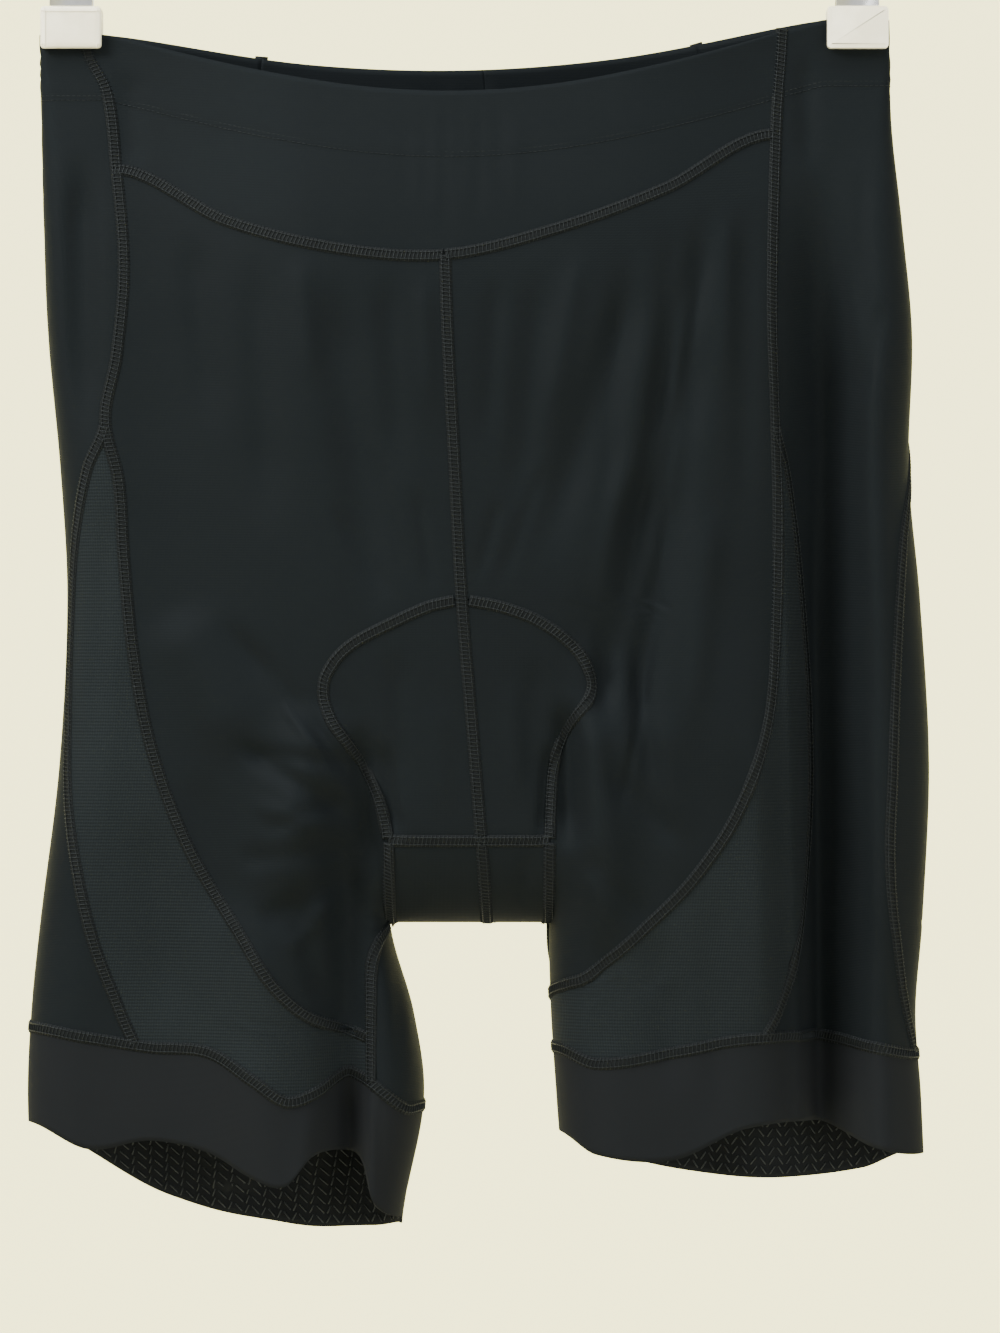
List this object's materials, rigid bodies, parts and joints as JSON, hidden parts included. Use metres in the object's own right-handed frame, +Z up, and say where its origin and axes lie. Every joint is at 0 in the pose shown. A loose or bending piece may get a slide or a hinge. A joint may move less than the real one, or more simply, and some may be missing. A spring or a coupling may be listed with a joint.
{
  "type": "cycling shorts on a clip hanger",
  "caption": "Stretch cycling shorts with a curved front yoke, mesh side inserts, gusset and wide leg grippers, hung by the waist from a plain clip hanger.",
  "frame": {"origin": "on the inside of the hanger hook's crown, where it rests on a rail", "axes": "+Z up, the shorts' front towards -Y, +X to the right as seen from the front"},
  "size_m": [0.4366, 0.0809, 0.6688],
  "materials": {
    "knit": "matte warp knit",
    "mesh_knit": "matte fine mesh knit",
    "cuff_knit": "matte dense band knit",
    "grip_pad": "satin moulded",
    "chrome": "polished plating"
  },
  "bodies": {
    "root": {"yoke_front": "knit", "front_left": "knit", "insert_left": "mesh_knit", "side_left": "knit", "back_left": "knit", "gusset_front_left": "knit", "gusset_rear_left": "knit", "cuff_left": "cuff_knit", "front_right": "knit", "insert_right": "mesh_knit", "side_right": "knit", "back_right": "knit", "gusset_front_right": "knit", "gusset_rear_right": "knit", "cuff_right": "cuff_knit", "hanger_bar": "chrome", "bar_end_left": "chrome", "bar_end_right": "chrome", "hook_socket": "chrome", "hanger_hook": "chrome", "clip_slider_left": "chrome", "clip_jaw_front_left": "chrome", "clip_pad_front_left": "grip_pad", "clip_jaw_back_left": "chrome", "clip_pad_back_left": "grip_pad", "clip_slider_right": "chrome", "clip_jaw_front_right": "chrome", "clip_pad_front_right": "grip_pad", "clip_jaw_back_right": "chrome", "clip_pad_back_right": "grip_pad"}
  },
  "joints": []
}
